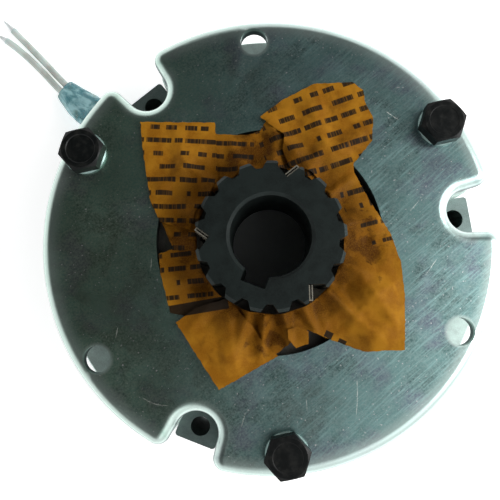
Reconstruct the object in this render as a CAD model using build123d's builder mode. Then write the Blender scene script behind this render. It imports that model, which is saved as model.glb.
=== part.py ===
"""Spring-applied electromagnetic friction clutch-brake, 150 mm size, face plate up.

Units are millimetres. The origin is on the shaft axis at the back face of the magnet body, which is
the face the unit stands on. +Z runs along the shaft towards the face plate and the splined hub.
Every fastener station is given by its angle about +Z, counted from +X.
"""
from build123d import *
import math
import os

# ---------------------------------------------------------------- driving dimensions
PLATE_RADIUS = 75.0
PLATE_THICKNESS = 5.0
PLATE_WINDOW_RADIUS = 37.0
EDGE_ROLL = 3.4
PITCH_RADIUS = 67.5
STATIONS = 3
TOLERANCE = 0.05
CUT_MARGIN = 2.0

BOLT_ANGLE = 35.0
HOLE_ANGLE = 95.0
NOTCH_ANGLE = 9.5

NOTCH_HALF_WIDTH = 7.0
NOTCH_CENTRE_RADIUS = 66.0
NOTCH_MOUTH_HALF_WIDTH = 8.6
NOTCH_TIP_RADIUS = 4.0

MAGNET_HEIGHT = 36.0
AIR_GAP = 0.3
ARMATURE_THICKNESS = 7.5
ARMATURE_RADIUS = 74.0
ARMATURE_BORE_RADIUS = 26.0
ARMATURE_EDGE = 0.4
DISC_THICKNESS = 10.94
DISC_PLAY = 0.03

SHAFT_BORE_RADIUS = 12.5
HUB_BASE = 45.0
HUB_LENGTH = 30.0
SPLINE_TEETH = 17
SPLINE_ROOT_RADIUS = 20.75
SPLINE_TIP_RADIUS = 23.25
SPLINE_CLEARANCE = 0.08
TOOTH_ROOT_HALF_WIDTH = 2.75
TOOTH_TIP_HALF_WIDTH = 1.5
TOOTH_END_CHAMFER = 1.0
BORE_CHAMFER = 1.0
KEYWAY_ANGLE = 250.0
KEYWAY_WIDTH = 8.0
KEYWAY_FLOOR = 15.8

# Three wide slots for the anti-rattle springs take the place of tooth gaps 0, 5 and 11.
FIRST_CLIP_ANGLE = 79.0
TOOTH_PITCH = 360 / SPLINE_TEETH
SPLINE_START = FIRST_CLIP_ANGLE + TOOTH_PITCH / 2
CLIP_ANGLES = [FIRST_CLIP_ANGLE + gap * TOOTH_PITCH for gap in (0, 5, 11)]
CLIP_SLOT_WIDTH = 5.2
CLIP_SLOT_REACH = 8.0
CLIP_SLOT_TURN = -40.0
CLIP_CORNER_RADIUS = 18.5
CLIP_CORNER_LEAD = -4.0
CLIP_STRIP = 0.35
CLIP_FOLD = 1.15
CLIP_REACH = 4.7
CLIP_CORNER_GAP = 0.2
CLIP_WALL_GAP = 0.1
CLIP_END_GAP = 0.6

# ---------------------------------------------------------------- heights along the shaft
ARMATURE_BASE = MAGNET_HEIGHT + AIR_GAP
ARMATURE_TOP = ARMATURE_BASE + ARMATURE_THICKNESS
DISC_BASE = ARMATURE_TOP + DISC_PLAY
DISC_TOP = DISC_BASE + DISC_THICKNESS
PLATE_BASE = DISC_TOP + DISC_PLAY
PLATE_TOP = PLATE_BASE + PLATE_THICKNESS
HUB_TOP = HUB_BASE + HUB_LENGTH

# ---------------------------------------------------------------- magnet body
MAGNET_BORE_RADIUS = 20.0
INNER_POLE_RADIUS = 33.0
COIL_SLOT_RADIUS = 53.0
MAGNET_RADIUS = 64.0
COIL_SLOT_FLOOR = 12.0
LUG_HALF_WIDTH = 7.5
LUG_FLAT_RADIUS = 73.5
LUG_CORNER_RADIUS = 1.2
LUG_HOLE_RADIUS = 3.4
BOSS_RADIUS = 7.2
THREAD_CLEARANCE = 0.05
THREAD_DEPTH = 18.0
LEAD_HOLE_RADIUS = 4.0

COIL_CLEARANCE = 0.1
BOBBIN_WALL = 1.0
POTTING_DEPTH = 3.0
POTTING_RECESS = 0.2

SPRING_COUNT = 6
SPRING_PITCH_RADIUS = 26.5
SPRING_POCKET_RADIUS = 4.5
SPRING_POCKET_DEPTH = 12.0
SPRING_COIL_RADIUS = 3.3
SPRING_WIRE_RADIUS = 0.6
SPRING_TURNS = 5.0
SPRING_END_GAP = 0.05

# ---------------------------------------------------------------- fasteners
BOLT_RADIUS = 4.0
BOLT_LENGTH = 40.0
BOLT_POINT_CHAMFER = 0.8
HEAD_ACROSS_FLATS = 13.0
HEAD_HEIGHT = 5.3
HEAD_TURN = 13.0
HEAD_CHAMFER = 0.9
HEAD_CROWN = 0.4
HEAD_RECESS_RADIUS = 4.8
HEAD_RECESS_DEPTH = 0.25
HEAD_RECESS_SLOPE = 0.3
WASHER_RADIUS = 7.0
WASHER_HOLE_RADIUS = 4.2
WASHER_THICKNESS = 1.4
WASHER_EDGE = 0.5
BOLT_HOLE_RADIUS = 4.3
SPACER_RADIUS = 6.5
SPACER_SLOT_RADIUS = 6.8
FIXING_HOLE_RADIUS = 4.5

# ---------------------------------------------------------------- friction disc
LINING_OUTER_RADIUS = 57.5
LINING_INNER_RADIUS = 38.5
LINING_THICKNESS = 3.4
CARRIER_COLLAR_RADIUS = 30.0
COLLAR_SETBACK = 0.4

# ---------------------------------------------------------------- leads
LEAD_ANGLE = 141.5
LEAD_EXIT_HEIGHT = 16.0
LEAD_RADIUS = 1.4
LEAD_TIP_RADIUS = 0.35
LEAD_END_STEP = 0.1
GROMMET_TIP = 68.0
SLEEVE_WALL = 0.5
BEND_SHARE = 0.45
FLOOR_HEIGHT = LEAD_RADIUS + 0.1

# ---------------------------------------------------------------- protective paper
PAPER_GAP = 0.1
PAPER_ROOM = 6.0
PAPER_HOLE_RADIUS = 24.6

os.makedirs("parts", exist_ok=True)


def save(piece, label):
    """Name a finished piece and write it as one STEP file."""
    piece.part.label = label
    export_step(piece.part, f"parts/{label}.step")


def station(radius, angle):
    """Point on a circle about the shaft axis."""
    turn = math.radians(angle)
    return radius * math.cos(turn), radius * math.sin(turn)


def station_plane(radius, angle, height):
    """Plane facing +Z at a station, with its x axis pointing away from the shaft."""
    turn = math.radians(angle)
    x, y = station(radius, angle)
    return Plane(origin=(x, y, height), x_dir=(math.cos(turn), math.sin(turn), 0), z_dir=(0, 0, 1))


def station_angles(first):
    """Angles of the three equal stations that start at the first one."""
    return [first + 360 / STATIONS * i for i in range(STATIONS)]


def notched_outline(radius):
    """Round plate outline with three U notches whose mouths end in rounded tips."""
    with BuildSketch() as outline:
        Circle(radius)
        with PolarLocations(0, STATIONS, start_angle=NOTCH_ANGLE):
            Polygon(
                (NOTCH_CENTRE_RADIUS, -NOTCH_HALF_WIDTH),
                (radius + CUT_MARGIN, -NOTCH_MOUTH_HALF_WIDTH),
                (radius + CUT_MARGIN, NOTCH_MOUTH_HALF_WIDTH),
                (NOTCH_CENTRE_RADIUS, NOTCH_HALF_WIDTH),
                align=None,
                mode=Mode.SUBTRACT,
            )
        with PolarLocations(NOTCH_CENTRE_RADIUS, STATIONS, start_angle=NOTCH_ANGLE):
            Circle(NOTCH_HALF_WIDTH, mode=Mode.SUBTRACT)
        mouths = [v for v in outline.vertices() if abs(v.center().length - radius) < TOLERANCE]
        tips = [v for v in mouths if abs(v.Y) > TOLERANCE]
        fillet(tips, NOTCH_TIP_RADIUS)
    return outline.sketch


def spline_outline(clearance):
    """Outline of the straight-flanked hub spline, grown by a clearance."""
    root = SPLINE_ROOT_RADIUS + clearance
    tip = SPLINE_TIP_RADIUS + clearance
    root_half = TOOTH_ROOT_HALF_WIDTH + clearance
    tip_half = TOOTH_TIP_HALF_WIDTH + clearance
    with BuildSketch() as outline:
        Circle(root)
        with PolarLocations(0, SPLINE_TEETH, start_angle=SPLINE_START):
            Polygon(
                (root - CUT_MARGIN, -root_half),
                (root, -root_half),
                (tip + TOLERANCE, -tip_half),
                (tip + TOLERANCE, tip_half),
                (root, root_half),
                (root - CUT_MARGIN, root_half),
                align=None,
            )
        Circle(tip, mode=Mode.INTERSECT)
    return outline.sketch


# ---------------------------------------------------------------- face plate
with BuildPart() as front_plate:
    with BuildSketch(Plane.XY.offset(PLATE_BASE)):
        add(notched_outline(PLATE_RADIUS))
    extrude(amount=PLATE_THICKNESS)
    fillet(front_plate.faces().sort_by(Axis.Z)[-1].outer_wire().edges(), EDGE_ROLL)
    with BuildSketch(Plane.XY.offset(PLATE_BASE)):
        Circle(PLATE_WINDOW_RADIUS)
        with PolarLocations(PITCH_RADIUS, STATIONS, start_angle=HOLE_ANGLE):
            Circle(FIXING_HOLE_RADIUS)
        with PolarLocations(PITCH_RADIUS, STATIONS, start_angle=BOLT_ANGLE):
            Circle(BOLT_HOLE_RADIUS)
    extrude(amount=PLATE_THICKNESS, mode=Mode.SUBTRACT)
save(front_plate, "front_plate")

# ---------------------------------------------------------------- armature plate
with BuildPart() as armature_plate:
    with BuildSketch(Plane.XY.offset(ARMATURE_BASE)):
        add(notched_outline(ARMATURE_RADIUS))
        Circle(ARMATURE_BORE_RADIUS, mode=Mode.SUBTRACT)
        with PolarLocations(PITCH_RADIUS, STATIONS, start_angle=BOLT_ANGLE):
            Circle(SPACER_SLOT_RADIUS, mode=Mode.SUBTRACT)
            Rectangle(
                ARMATURE_RADIUS - PITCH_RADIUS + CUT_MARGIN,
                2 * SPACER_SLOT_RADIUS,
                align=(Align.MIN, Align.CENTER),
                mode=Mode.SUBTRACT,
            )
    extrude(amount=ARMATURE_THICKNESS)
    chamfer(armature_plate.faces().sort_by(Axis.Z)[-1].outer_wire().edges(), ARMATURE_EDGE)
save(armature_plate, "armature_plate")

# ---------------------------------------------------------------- friction disc
with BuildPart() as disc_carrier:
    with BuildSketch(Plane.XY.offset(DISC_BASE + LINING_THICKNESS)):
        Circle(LINING_OUTER_RADIUS)
    extrude(amount=DISC_THICKNESS - 2 * LINING_THICKNESS)
    with BuildSketch(Plane.XY.offset(DISC_BASE + COLLAR_SETBACK)):
        Circle(CARRIER_COLLAR_RADIUS)
    extrude(amount=DISC_THICKNESS - 2 * COLLAR_SETBACK)
    with BuildSketch(Plane.XY.offset(DISC_BASE)):
        add(spline_outline(SPLINE_CLEARANCE))
    extrude(amount=DISC_THICKNESS, mode=Mode.SUBTRACT)
save(disc_carrier, "disc_carrier")


def lining(base):
    """One bonded friction ring, lying on the carrier web."""
    with BuildPart() as ring:
        with BuildSketch(Plane.XY.offset(base)):
            Circle(LINING_OUTER_RADIUS)
            Circle(LINING_INNER_RADIUS, mode=Mode.SUBTRACT)
        extrude(amount=LINING_THICKNESS)
    return ring


save(lining(DISC_BASE), "rear_lining")
save(lining(DISC_TOP - LINING_THICKNESS), "front_lining")

# ---------------------------------------------------------------- splined hub
def clip_plane(gap_angle, height):
    """Plane at the inner corner of a spring slot, with its x axis along the slot's flat wall."""
    x, y = station(CLIP_CORNER_RADIUS, gap_angle + CLIP_CORNER_LEAD)
    turn = math.radians(gap_angle + CLIP_SLOT_TURN)
    return Plane(origin=(x, y, height), x_dir=(math.cos(turn), math.sin(turn), 0), z_dir=(0, 0, 1))


with BuildPart() as splined_hub:
    with BuildSketch(Plane.XY.offset(HUB_BASE)):
        add(spline_outline(0))
    extrude(amount=HUB_LENGTH)
    for clip_angle in CLIP_ANGLES:
        with BuildSketch(clip_plane(clip_angle, HUB_BASE)):
            Rectangle(CLIP_SLOT_REACH, CLIP_SLOT_WIDTH, align=(Align.MIN, Align.MIN))
        extrude(amount=HUB_LENGTH, mode=Mode.SUBTRACT)
    with BuildSketch(Plane.XZ):
        for end, outward in ((HUB_TOP, 1), (HUB_BASE, -1)):
            with BuildLine():
                Polyline(
                    (SPLINE_TIP_RADIUS - TOOTH_END_CHAMFER, end),
                    (SPLINE_TIP_RADIUS + CUT_MARGIN, end - outward * (TOOTH_END_CHAMFER + CUT_MARGIN)),
                    (SPLINE_TIP_RADIUS + CUT_MARGIN, end + outward * CUT_MARGIN),
                    (SPLINE_TIP_RADIUS - TOOTH_END_CHAMFER, end + outward * CUT_MARGIN),
                    close=True,
                )
            make_face()
    revolve(axis=Axis.Z, mode=Mode.SUBTRACT)
    with BuildSketch(Plane.XY.offset(HUB_BASE)):
        Circle(SHAFT_BORE_RADIUS)
    extrude(amount=HUB_LENGTH, mode=Mode.SUBTRACT)
    bore_edges = splined_hub.edges().filter_by(GeomType.CIRCLE).filter_by(
        lambda edge: abs(edge.radius - SHAFT_BORE_RADIUS) < TOLERANCE
    )
    chamfer(bore_edges, BORE_CHAMFER)
    with BuildSketch(station_plane(0, KEYWAY_ANGLE, HUB_BASE)):
        Rectangle(KEYWAY_FLOOR, KEYWAY_WIDTH, align=(Align.MIN, Align.CENTER))
    extrude(amount=HUB_LENGTH, mode=Mode.SUBTRACT)
save(splined_hub, "splined_hub")

# ---------------------------------------------------------------- anti-rattle springs
for number, clip_angle in enumerate(CLIP_ANGLES, start=1):
    with BuildPart() as clip:
        with BuildSketch(clip_plane(clip_angle, HUB_BASE + 2 * CLIP_END_GAP)):
            with Locations((CLIP_CORNER_GAP, CLIP_WALL_GAP)):
                Rectangle(CLIP_REACH, CLIP_FOLD, align=(Align.MIN, Align.MIN))
            with Locations((CLIP_CORNER_GAP, CLIP_WALL_GAP + CLIP_STRIP)):
                Rectangle(
                    CLIP_REACH - CLIP_STRIP,
                    CLIP_FOLD - 2 * CLIP_STRIP,
                    align=(Align.MIN, Align.MIN),
                    mode=Mode.SUBTRACT,
                )
        extrude(amount=HUB_LENGTH - 3 * CLIP_END_GAP)
    save(clip, f"rattle_spring_{number}")

# ---------------------------------------------------------------- magnet body
with BuildPart() as magnet_body:
    with BuildSketch():
        Circle(MAGNET_RADIUS)
        with PolarLocations(0, STATIONS, start_angle=BOLT_ANGLE):
            Rectangle(PITCH_RADIUS, 2 * BOSS_RADIUS, align=(Align.MIN, Align.CENTER))
        with PolarLocations(PITCH_RADIUS, STATIONS, start_angle=BOLT_ANGLE):
            Circle(BOSS_RADIUS)
        with PolarLocations(0, STATIONS, start_angle=NOTCH_ANGLE):
            Rectangle(LUG_FLAT_RADIUS, 2 * LUG_HALF_WIDTH, align=(Align.MIN, Align.CENTER))
        Circle(MAGNET_BORE_RADIUS, mode=Mode.SUBTRACT)
        with PolarLocations(PITCH_RADIUS, STATIONS, start_angle=NOTCH_ANGLE):
            Circle(LUG_HOLE_RADIUS, mode=Mode.SUBTRACT)
    extrude(amount=MAGNET_HEIGHT)
    lug_corners = magnet_body.edges().filter_by(Axis.Z).filter_by(
        lambda edge: math.hypot(edge.center().X, edge.center().Y) > LUG_FLAT_RADIUS
    )
    fillet(lug_corners, LUG_CORNER_RADIUS)
    with BuildSketch(Plane.XY.offset(COIL_SLOT_FLOOR)):
        Circle(COIL_SLOT_RADIUS)
        Circle(INNER_POLE_RADIUS, mode=Mode.SUBTRACT)
    extrude(amount=MAGNET_HEIGHT, mode=Mode.SUBTRACT)
    with BuildSketch(Plane.XY.offset(MAGNET_HEIGHT)):
        with PolarLocations(SPRING_PITCH_RADIUS, SPRING_COUNT):
            Circle(SPRING_POCKET_RADIUS)
    extrude(amount=-SPRING_POCKET_DEPTH, mode=Mode.SUBTRACT)
    with BuildSketch(Plane.XY.offset(MAGNET_HEIGHT)):
        with PolarLocations(PITCH_RADIUS, STATIONS, start_angle=BOLT_ANGLE):
            Circle(BOLT_RADIUS + THREAD_CLEARANCE)
    extrude(amount=-THREAD_DEPTH, mode=Mode.SUBTRACT)
    lead_axis = station_plane(0, LEAD_ANGLE, LEAD_EXIT_HEIGHT)
    with BuildSketch(Plane(origin=lead_axis.origin, z_dir=lead_axis.x_dir)):
        Circle(LEAD_HOLE_RADIUS)
    extrude(amount=MAGNET_RADIUS + CUT_MARGIN, mode=Mode.SUBTRACT)
save(magnet_body, "magnet_body")

# ---------------------------------------------------------------- coil
bobbin_inner = INNER_POLE_RADIUS + COIL_CLEARANCE
bobbin_outer = COIL_SLOT_RADIUS - COIL_CLEARANCE
bobbin_top = MAGNET_HEIGHT - POTTING_DEPTH
winding_base = COIL_SLOT_FLOOR + BOBBIN_WALL
winding_top = bobbin_top - BOBBIN_WALL

with BuildPart() as coil_bobbin:
    with BuildSketch(Plane.XY.offset(COIL_SLOT_FLOOR)):
        Circle(bobbin_outer)
        Circle(bobbin_inner, mode=Mode.SUBTRACT)
    extrude(amount=bobbin_top - COIL_SLOT_FLOOR)
    with BuildSketch(Plane.XY.offset(winding_base)):
        Circle(bobbin_outer)
        Circle(bobbin_inner + BOBBIN_WALL, mode=Mode.SUBTRACT)
    extrude(amount=winding_top - winding_base, mode=Mode.SUBTRACT)
save(coil_bobbin, "coil_bobbin")

with BuildPart() as coil_winding:
    with BuildSketch(Plane.XY.offset(winding_base)):
        Circle(bobbin_outer - BOBBIN_WALL)
        Circle(bobbin_inner + BOBBIN_WALL, mode=Mode.SUBTRACT)
    extrude(amount=winding_top - winding_base)
save(coil_winding, "coil_winding")

with BuildPart() as coil_potting:
    with BuildSketch(Plane.XY.offset(bobbin_top)):
        Circle(bobbin_outer)
        Circle(bobbin_inner, mode=Mode.SUBTRACT)
    extrude(amount=POTTING_DEPTH - POTTING_RECESS)
save(coil_potting, "coil_potting")

# ---------------------------------------------------------------- pressure springs
spring_floor = MAGNET_HEIGHT - SPRING_POCKET_DEPTH + SPRING_END_GAP + SPRING_WIRE_RADIUS
spring_height = ARMATURE_BASE - SPRING_END_GAP - SPRING_WIRE_RADIUS - spring_floor

for number in range(SPRING_COUNT):
    pocket = station_plane(SPRING_PITCH_RADIUS, 360 / SPRING_COUNT * number, spring_floor)
    with BuildPart() as pressure_spring:
        with BuildLine(pocket) as coil:
            Helix(spring_height / SPRING_TURNS, spring_height, SPRING_COIL_RADIUS)
        with BuildSketch(Plane(origin=coil.line @ 0, z_dir=coil.line % 0)):
            Circle(SPRING_WIRE_RADIUS)
        sweep(path=coil.line, is_frenet=True)
    save(pressure_spring, f"pressure_spring_{number + 1}")

# ---------------------------------------------------------------- bolts, washers and spacers
head_base = PLATE_TOP + WASHER_THICKNESS
head_corner_radius = HEAD_ACROSS_FLATS / math.sqrt(3)

for number, angle in enumerate(station_angles(BOLT_ANGLE), start=1):
    seat = station_plane(PITCH_RADIUS, angle, head_base)
    profile_plane = Plane(origin=seat.origin, x_dir=(1, 0, 0), z_dir=(0, -1, 0))
    with BuildPart() as bolt:
        with BuildSketch(seat):
            RegularPolygon(head_corner_radius, 6, rotation=HEAD_TURN - angle)
        extrude(amount=HEAD_HEIGHT)
        with BuildSketch(profile_plane):
            Polygon(
                (0, 0),
                (head_corner_radius + TOLERANCE, 0),
                (head_corner_radius + TOLERANCE, HEAD_HEIGHT - HEAD_CHAMFER),
                (HEAD_ACROSS_FLATS / 2 - HEAD_CROWN, HEAD_HEIGHT),
                (HEAD_RECESS_RADIUS, HEAD_HEIGHT),
                (HEAD_RECESS_RADIUS - HEAD_RECESS_SLOPE, HEAD_HEIGHT - HEAD_RECESS_DEPTH),
                (0, HEAD_HEIGHT - HEAD_RECESS_DEPTH),
                align=None,
            )
        revolve(axis=Axis(seat.origin, (0, 0, 1)), mode=Mode.INTERSECT)
        with BuildSketch(seat):
            Circle(BOLT_RADIUS)
        extrude(amount=-BOLT_LENGTH)
        chamfer(bolt.edges().sort_by(Axis.Z)[0], BOLT_POINT_CHAMFER)
    save(bolt, f"bolt_{number}")

    with BuildPart() as washer:
        with BuildSketch(station_plane(PITCH_RADIUS, angle, PLATE_TOP)):
            Circle(WASHER_RADIUS)
            Circle(WASHER_HOLE_RADIUS, mode=Mode.SUBTRACT)
        extrude(amount=WASHER_THICKNESS)
        chamfer(washer.faces().sort_by(Axis.Z)[-1].outer_wire().edges(), WASHER_EDGE)
    save(washer, f"washer_{number}")

    with BuildPart() as spacer:
        with BuildSketch(station_plane(PITCH_RADIUS, angle, MAGNET_HEIGHT)):
            Circle(SPACER_RADIUS)
            Circle(WASHER_HOLE_RADIUS, mode=Mode.SUBTRACT)
        extrude(amount=PLATE_BASE - MAGNET_HEIGHT)
    save(spacer, f"spacer_{number}")

# ---------------------------------------------------------------- leads
# The leads run outward along LEAD_ANGLE. Places are given as distance along that direction, distance
# sideways from it towards +Y, and height.


def lead_plane(along, across, height):
    """Upright plane across the leads' direction."""
    turn = math.radians(LEAD_ANGLE)
    outward = Vector(math.cos(turn), math.sin(turn), 0)
    sideways = Vector(math.sin(turn), -math.cos(turn), 0)
    origin = outward * along + sideways * across + Vector(0, 0, height)
    return Plane(origin=origin, x_dir=sideways, z_dir=outward)


# Grommet sections: (start, end, radius) along the leads' direction, inside the wall, flange and nose.
GROMMET_SECTIONS = [(54.0, 64.05, 3.9), (64.05, 66.0, 5.2), (66.0, GROMMET_TIP, 3.6)]
with BuildPart() as lead_grommet:
    for start, end, radius in GROMMET_SECTIONS:
        with BuildSketch(lead_plane(start, 0, LEAD_EXIT_HEIGHT)):
            Circle(radius)
        extrude(amount=end - start)
save(lead_grommet, "lead_grommet")

# Each route point is (along, across, height). The leads leave the grommet level, sink to the floor
# through the sleeve, and lie on it to their stripped ends.
LEAD_ROUTES = [
    [
        (GROMMET_TIP, 1.6, LEAD_EXIT_HEIGHT),
        (78.0, 1.6, LEAD_EXIT_HEIGHT),
        (90.5, 1.8, 12.2),
        (103.0, 2.0, 6.2),
        (114.0, 2.8, 2.8),
        (125.8, 4.6, FLOOR_HEIGHT),
        (138.5, 6.1, FLOOR_HEIGHT),
        (146.9, 7.0, FLOOR_HEIGHT),
    ],
    [
        (GROMMET_TIP, -1.6, LEAD_EXIT_HEIGHT),
        (78.0, -1.6, LEAD_EXIT_HEIGHT),
        (90.5, -1.7, 12.2),
        (103.0, -1.5, 6.2),
        (114.6, -0.5, 2.8),
        (126.3, 1.3, FLOOR_HEIGHT),
        (139.2, 2.2, FLOOR_HEIGHT),
        (146.1, 1.8, FLOOR_HEIGHT),
    ],
]
LEAD_END_POINTS = [(153.1, 7.7, 0.9), (151.4, 1.3, 0.9)]


def bend_radii(points):
    """Largest arc radius that each corner of a route allows."""
    radii = []
    for before, corner, after in zip(points, points[1:], points[2:]):
        first = corner - before
        second = after - corner
        half_turn = math.radians(first.get_angle(second)) / 2
        shorter = min(first.length, second.length)
        radii.append(BEND_SHARE * shorter / math.tan(half_turn))
    return radii


for number, (route, end_point) in enumerate(zip(LEAD_ROUTES, LEAD_END_POINTS), start=1):
    points = [lead_plane(*point).origin for point in route]
    radii = bend_radii(points)
    with BuildPart() as lead_wire:
        with BuildLine() as path:
            route_line = FilletPolyline(*points, radius=radii)
        with BuildSketch(Plane(origin=route_line @ 0, z_dir=route_line % 0)):
            Circle(LEAD_RADIUS)
        sweep(path=path.line)
    save(lead_wire, f"lead_wire_{number}")
    expected = math.pi * LEAD_RADIUS**2 * route_line.length
    print(f"lead_wire_{number} radii", [round(radius, 1) for radius in radii])
    print(f"length {route_line.length:.1f}, area x length {expected:.1f}, volume {lead_wire.part.volume:.1f}")

    tip = lead_plane(*end_point).origin
    heading = tip - points[-1]
    with BuildPart() as lead_end:
        with BuildSketch(Plane(origin=points[-1], z_dir=route_line % 1)):
            Circle(LEAD_RADIUS - LEAD_END_STEP)
        with BuildSketch(Plane(origin=tip, z_dir=heading)):
            Circle(LEAD_TIP_RADIUS)
        loft()
    save(lead_end, f"lead_end_{number}")

# Sleeve sections: (along, across, height, half width, half height).
SLEEVE_SECTIONS = [
    (78.2, 0.0, 15.7, 7.0, 3.2),
    (90.6, 0.0, 11.8, 7.2, 3.1),
    (102.6, 0.2, 6.4, 6.4, 2.9),
    (111.7, 0.9, 3.5, 4.7, 2.7),
]
with BuildPart() as lead_sleeve:
    for along, across, height, half_width, half_height in SLEEVE_SECTIONS:
        with BuildSketch(lead_plane(along, across, height)):
            Ellipse(half_width, half_height)
    loft()
    for along, across, height, half_width, half_height in SLEEVE_SECTIONS:
        with BuildSketch(lead_plane(along, across, height)):
            Ellipse(half_width - SLEEVE_WALL, half_height - SLEEVE_WALL)
    loft(mode=Mode.SUBTRACT)
save(lead_sleeve, "lead_sleeve")

# ---------------------------------------------------------------- protective paper
# The torn paper lies on the face plate round the hub. Its solid is the room that its folds take up.
PAPER_OUTLINE = [
    (-42.8, 38.8), (-38.8, 11.5), (-34.7, 4.4), (-31.3, -2.8), (-36.1, -4.7), (-35.3, -11.2),
    (-31.8, -23.6), (-30.1, -26.5), (-15.4, -47.6), (1.5, -36.8), (12.2, -28.5), (16.7, -30.4),
    (24.9, -33.4), (30.6, -35.2), (43.2, -34.5), (43.4, -16.8), (42.3, -6.6), (39.2, 2.4),
    (35.1, 8.9), (32.2, 13.4), (27.4, 22.6), (27.1, 27.9), (33.3, 33.6), (33.4, 40.6),
    (30.8, 46.0), (30.2, 50.0), (26.6, 52.7), (14.1, 52.0), (3.6, 46.5), (-3.3, 40.7),
    (-3.6, 36.4), (-7.8, 35.0), (-18.0, 35.3), (-20.0, 38.9),
]
with BuildPart() as protective_paper:
    with BuildSketch(Plane.XY.offset(PLATE_TOP + PAPER_GAP)):
        Polygon(*PAPER_OUTLINE, align=None)
        Circle(PAPER_HOLE_RADIUS, mode=Mode.SUBTRACT)
    extrude(amount=PAPER_ROOM)
save(protective_paper, "protective_paper")
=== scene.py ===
"""Looks of the spring-applied electromagnetic clutch-brake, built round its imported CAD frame.

Everything is in metres in the CAD's own frame: the shaft axis is Z, the unit stands on Z = 0 and its
face plate looks up. MM turns millimetres into metres where a size is easier to read that way.
"""
import math
import random

import bpy
import bmesh
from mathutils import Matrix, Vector, noise
from mathutils.geometry import delaunay_2d_cdt


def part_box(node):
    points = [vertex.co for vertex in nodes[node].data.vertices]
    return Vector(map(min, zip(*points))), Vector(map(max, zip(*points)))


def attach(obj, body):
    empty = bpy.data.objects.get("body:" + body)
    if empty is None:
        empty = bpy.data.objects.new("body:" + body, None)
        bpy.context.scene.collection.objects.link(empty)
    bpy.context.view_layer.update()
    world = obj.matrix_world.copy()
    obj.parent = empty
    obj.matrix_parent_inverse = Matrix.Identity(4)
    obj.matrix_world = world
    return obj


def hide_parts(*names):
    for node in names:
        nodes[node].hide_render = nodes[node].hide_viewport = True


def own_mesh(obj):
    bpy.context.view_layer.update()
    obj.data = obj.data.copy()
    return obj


MM = 0.001
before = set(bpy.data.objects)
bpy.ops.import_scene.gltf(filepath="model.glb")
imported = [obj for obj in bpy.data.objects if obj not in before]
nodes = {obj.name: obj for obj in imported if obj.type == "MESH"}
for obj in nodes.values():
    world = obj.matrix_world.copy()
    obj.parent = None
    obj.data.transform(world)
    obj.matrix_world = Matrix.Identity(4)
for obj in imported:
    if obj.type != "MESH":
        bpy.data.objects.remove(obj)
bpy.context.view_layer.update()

PLATE_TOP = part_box("front_plate")[1].z
PLATE_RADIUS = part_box("front_plate")[1].x
# Turns in degrees of what comes three times round the axis.
THIRDS = (0, 120, 240)

# ---------------------------------------------------------------- camera
# It looks down at the face plate from close by, a little below the shaft axis and tilted towards it.
CAMERA_PLACE = (-3.34 * MM, -23.1 * MM, 267.0 * MM)
CAMERA_TILT = (0.0969, 0.0141, 0.0106)
CAMERA_LENS = 46.2

camera_data = bpy.data.cameras.new("camera")
camera_data.lens = CAMERA_LENS
camera_data.clip_start = 0.005
camera = bpy.data.objects.new("camera", camera_data)
camera.location = CAMERA_PLACE
camera.rotation_euler = CAMERA_TILT
bpy.context.scene.collection.objects.link(camera)
bpy.context.scene.camera = camera

# ---------------------------------------------------------------- leads
# The routes are those of the CAD leads: (along, sideways, height) in millimetres, where along is the
# distance from the shaft axis in the leads' direction.
LEAD_ANGLE = math.radians(141.5)
LEAD_RADIUS = 1.4 * MM
FLOOR_HEIGHT = 1.5
LEAD_EXIT_HEIGHT = 16.0
LEAD_ROUTES = [
    [
        (68.0, 1.6, LEAD_EXIT_HEIGHT), (78.0, 1.6, LEAD_EXIT_HEIGHT), (90.5, 1.8, 12.2),
        (103.0, 2.0, 6.2), (114.0, 2.8, 2.8), (125.8, 4.6, FLOOR_HEIGHT),
        (138.5, 6.1, FLOOR_HEIGHT), (146.9, 7.0, FLOOR_HEIGHT),
    ],
    [
        (68.0, -1.6, LEAD_EXIT_HEIGHT), (78.0, -1.6, LEAD_EXIT_HEIGHT), (90.5, -1.7, 12.2),
        (103.0, -1.5, 6.2), (114.6, -0.5, 2.8), (126.3, 1.3, FLOOR_HEIGHT),
        (139.2, 2.2, FLOOR_HEIGHT), (146.1, 1.8, FLOOR_HEIGHT),
    ],
]
LEAD_LENGTHS = [0.0816, 0.0806]


def lead_point(along, sideways, height):
    """Place of a route point in the frame."""
    outward = Vector((math.cos(LEAD_ANGLE), math.sin(LEAD_ANGLE), 0))
    across = Vector((math.sin(LEAD_ANGLE), -math.cos(LEAD_ANGLE), 0))
    return (outward * along + across * sideways + Vector((0, 0, height))) * MM


def make_lead(number, route):
    """One white lead as a smooth round cord."""
    curve = bpy.data.curves.new(f"lead_{number}", "CURVE")
    curve.dimensions = "3D"
    curve.bevel_depth = 1.0
    curve.bevel_resolution = 6
    curve.resolution_u = 10
    curve.use_fill_caps = True
    spline = curve.splines.new("NURBS")
    points = [lead_point(*point) for point in route]
    spline.points.add(len(points) - 1)
    for target, point in zip(spline.points, points):
        target.co = (*point, 1)
        target.radius = LEAD_RADIUS
    spline.order_u = 3
    spline.use_endpoint_u = True
    lead = bpy.data.objects.new(f"lead_{number}", curve)
    bpy.context.scene.collection.objects.link(lead)
    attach(lead, "housing")
    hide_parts(f"lead_wire_{number}")
    return lead


leads = [
    make_lead(number, route)
    for number, (route, length) in enumerate(zip(LEAD_ROUTES, LEAD_LENGTHS), start=1)
]


# ---------------------------------------------------------------- material helper
# The sockets of a mix node that carry its two colours and its result.
MIX_COLOURS = (6, 7)
MIX_RESULT = 2


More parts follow.
